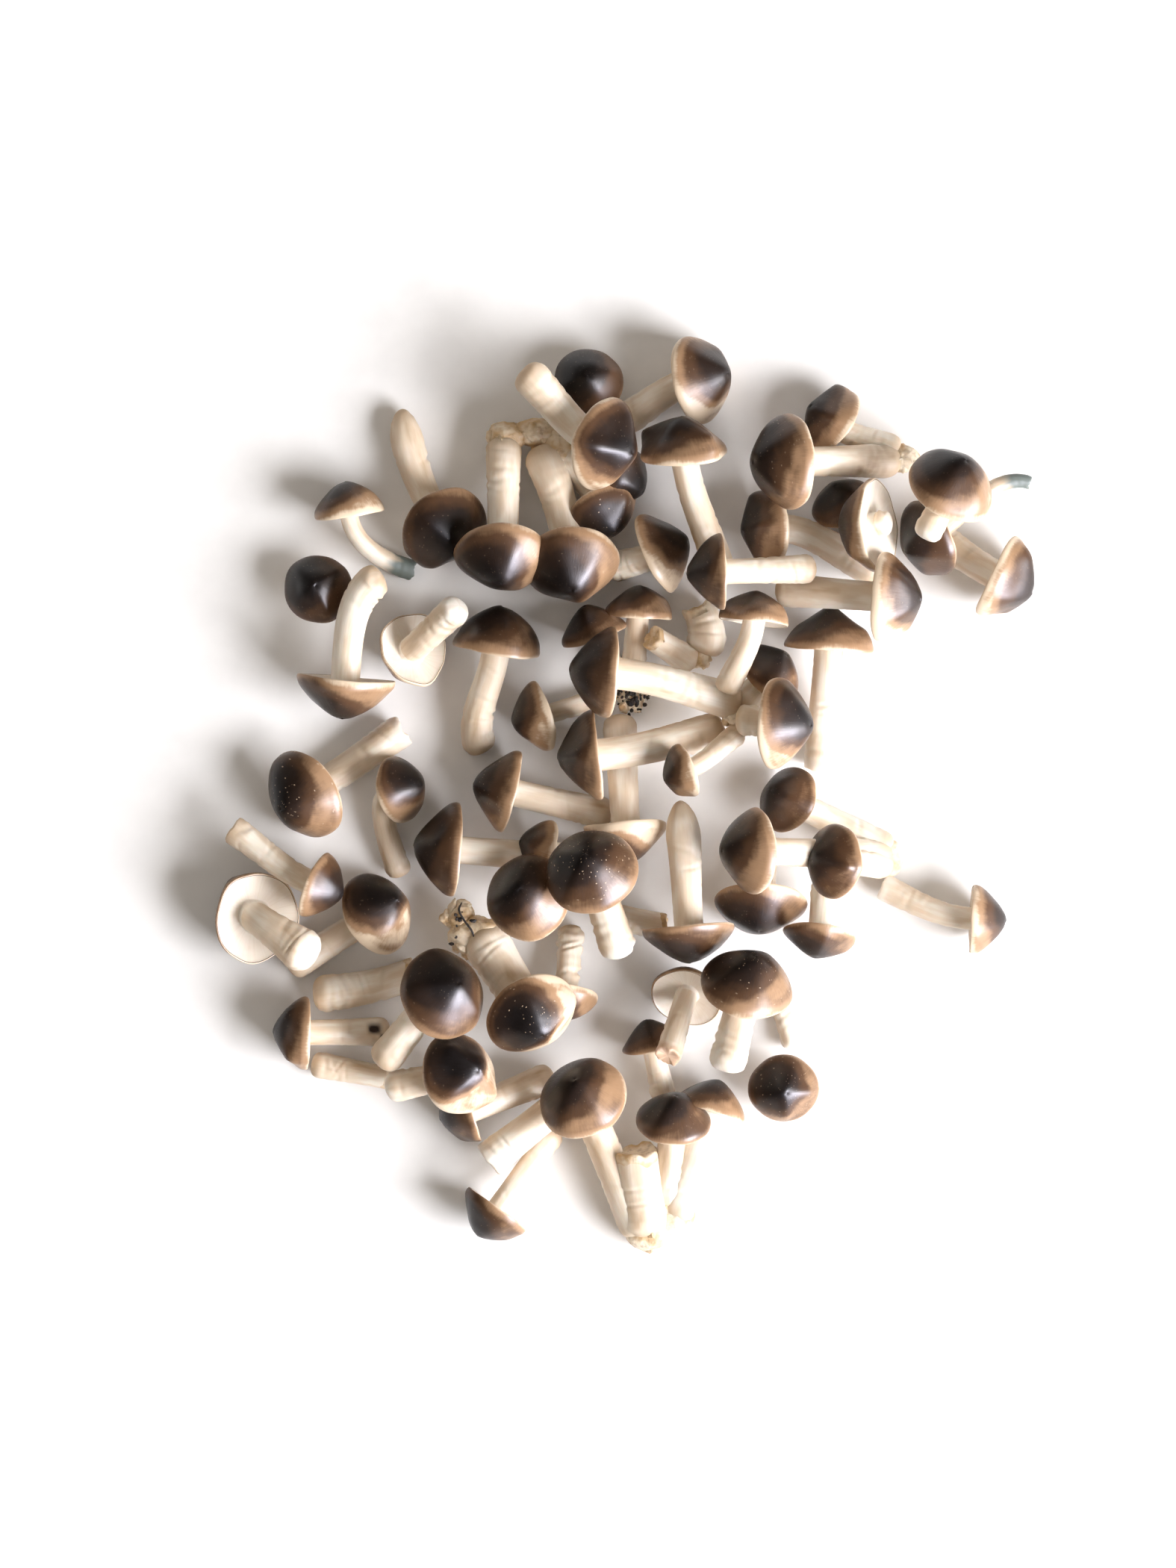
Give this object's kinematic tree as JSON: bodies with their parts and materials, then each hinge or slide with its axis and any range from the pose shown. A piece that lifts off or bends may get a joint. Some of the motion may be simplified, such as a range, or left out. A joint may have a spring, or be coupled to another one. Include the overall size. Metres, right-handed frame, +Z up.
{
  "type": "mushroom cluster",
  "caption": "Loose cluster of small fresh mushrooms with brown, bluntly pointed caps on stout cream stems, lying heaped flat on a surface.",
  "frame": {"origin": "centre of the bounding box on the surface that the cluster lies on", "axes": "+Z up from the surface, +Y along the cluster's longer way, +X across it"},
  "size_m": [0.3286, 0.3662, 0.059],
  "materials": {
    "mushroom": "satin brown cap skin with fine radial fibres, paler at the rim, on a cream fibrous stem",
    "stem": "matt cream stem flesh with fine lengthwise fibres and tan shading"
  },
  "bodies": {
    "root": {"clump_centre": "mushroom", "clump_left": "mushroom", "clump_low": "mushroom", "clump_middle": "mushroom", "clump_right_high": "mushroom", "clump_right_low": "mushroom", "clump_right_side": "mushroom", "clump_small": "mushroom", "clump_stems": "stem", "clump_top": "mushroom", "mushroom_left_1": "mushroom", "mushroom_left_10": "mushroom", "mushroom_left_11": "mushroom", "mushroom_left_12": "mushroom", "mushroom_left_13": "mushroom", "mushroom_left_14": "mushroom", "mushroom_left_15": "mushroom", "mushroom_left_16": "mushroom", "mushroom_left_17": "mushroom", "mushroom_left_18": "mushroom", "mushroom_left_2": "mushroom", "mushroom_left_3": "mushroom", "mushroom_left_4": "mushroom", "mushroom_left_5": "mushroom", "mushroom_left_6": "mushroom", "mushroom_left_7": "mushroom", "mushroom_left_8": "mushroom", "mushroom_left_9": "mushroom", "mushroom_low_1": "mushroom", "mushroom_low_2": "mushroom", "mushroom_low_3": "mushroom", "mushroom_low_4": "mushroom", "mushroom_low_5": "mushroom", "mushroom_low_6": "mushroom", "mushroom_middle_1": "mushroom", "mushroom_middle_2": "mushroom", "mushroom_middle_3": "mushroom", "mushroom_middle_4": "mushroom", "mushroom_middle_5": "mushroom", "mushroom_middle_6": "mushroom", "mushroom_middle_7": "mushroom", "mushroom_right_1": "mushroom", "mushroom_right_2": "mushroom", "mushroom_right_3": "mushroom", "mushroom_right_4": "mushroom", "mushroom_right_5": "mushroom", "mushroom_right_6": "mushroom", "mushroom_right_7": "mushroom", "mushroom_right_8": "mushroom", "mushroom_right_9": "mushroom", "mushroom_top_1": "mushroom", "mushroom_top_2": "mushroom", "mushroom_top_3": "mushroom", "mushroom_top_4": "mushroom", "mushroom_top_5": "mushroom", "stem_left_1": "stem", "stem_left_2": "stem", "stem_low_1": "stem", "stem_low_2": "stem", "stem_middle_1": "stem"}
  },
  "joints": []
}
